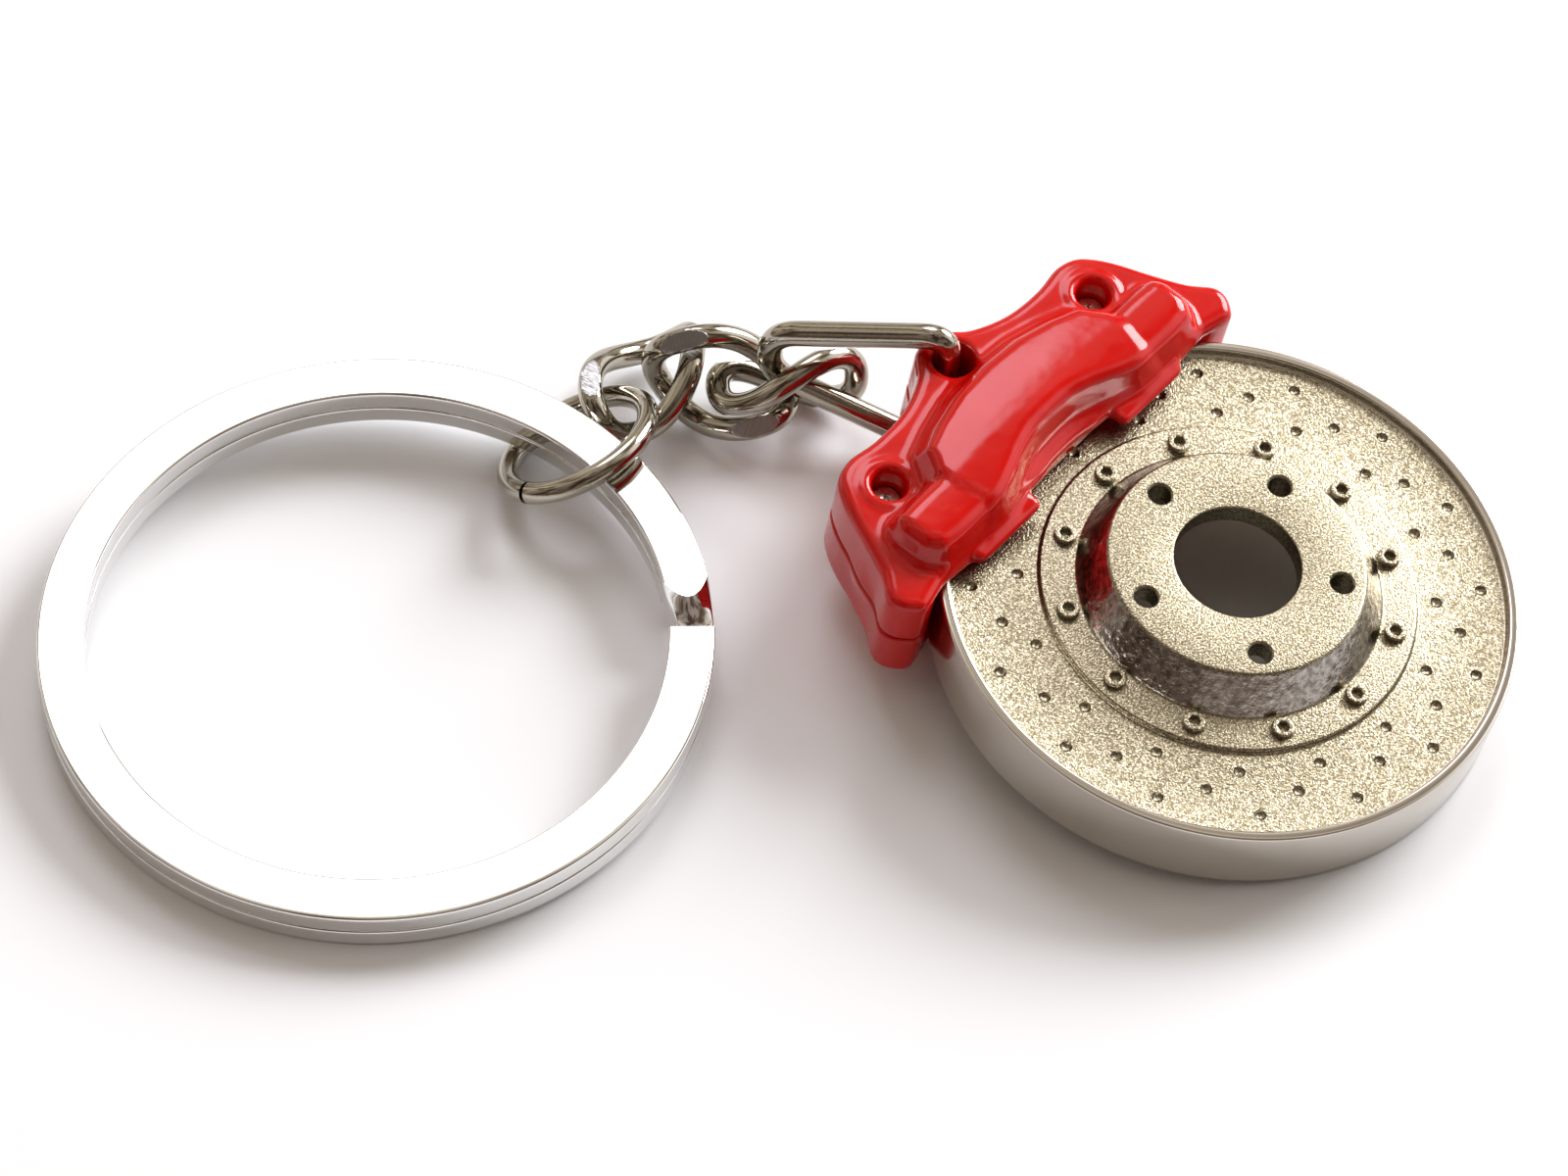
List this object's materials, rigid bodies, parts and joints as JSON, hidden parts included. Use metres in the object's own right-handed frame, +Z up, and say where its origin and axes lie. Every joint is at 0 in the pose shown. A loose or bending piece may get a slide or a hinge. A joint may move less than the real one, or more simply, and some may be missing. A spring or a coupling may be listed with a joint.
{
  "type": "key ring with brake caliper and disc ornament",
  "caption": "Key ring with a miniature brake disc that spins in a red two-piece caliper, joined by a twisted link chain to a flat split ring.",
  "frame": {"origin": "middle of the object's box, on the surface that it lies on", "axes": "+X from the split ring to the disc, +Z up from the surface, +Y towards the chain side"},
  "size_m": [0.0722, 0.0398, 0.0103],
  "materials": {
    "nickel_casting": "satin nickel plating on a slightly grainy zinc casting",
    "red_paint": "glossy red enamel",
    "zinc_screw": "dull zinc plating",
    "plated_wire": "nickel-plated wire, rubbed along the ground flats",
    "polished_steel": "mirror polish"
  },
  "bodies": {
    "caliper": {"caliper_front": "red_paint", "caliper_rear": "red_paint", "screw_left": "zinc_screw", "screw_right": "zinc_screw"},
    "disc": {"brake_disc": "nickel_casting"},
    "long_link": {"long_link": "plated_wire"},
    "chain_link_3": {"chain_link_3": "plated_wire"},
    "chain_link_2": {"chain_link_2": "plated_wire"},
    "chain_link_1": {"chain_link_1": "plated_wire"},
    "jump_ring": {"jump_ring": "plated_wire"},
    "split_ring": {"split_ring": "polished_steel"}
  },
  "joints": [
    {"name": "disc_spin", "type": "hinge", "parent": "caliper", "child": "disc", "pos_m": [0.02154, 0.00177, 0.00357], "axis": [0.0882, -0.0641, 0.994], "continuous": true},
    {"name": "long_link_swing", "type": "hinge", "parent": "caliper", "child": "long_link", "pos_m": [0.00723, 0.0121, 0.00533], "axis": [0.0882, -0.0641, 0.994], "range_deg": [-40, 25]},
    {"name": "chain_link_3_lift", "type": "hinge", "parent": "long_link", "child": "chain_link_3", "pos_m": [-0.00087, 0.01391, 0.00361], "axis": [-0.8455, 0.19, 0.4991], "range_deg": [0, 40]},
    {"name": "chain_link_2_swing", "type": "hinge", "parent": "chain_link_3", "child": "chain_link_2", "pos_m": [-0.00337, 0.01233, 0.00292], "axis": [0, 0, 1], "range_deg": [-8, 8]},
    {"name": "chain_link_1_swing", "type": "hinge", "parent": "chain_link_2", "child": "chain_link_1", "pos_m": [-0.00559, 0.01497, 0.0042], "axis": [0, 0, -1], "range_deg": [-8, 30]},
    {"name": "jump_ring_swing", "type": "hinge", "parent": "chain_link_1", "child": "jump_ring", "pos_m": [-0.00795, 0.01193, 0.00306], "axis": [0, 0, -1], "range_deg": [-20, 12]},
    {"name": "split_ring_turn", "type": "hinge", "parent": "jump_ring", "child": "split_ring", "pos_m": [-0.01961, -0.00341, 0.00185], "axis": [-0.0149, -0.041, 0.999], "continuous": true}
  ]
}
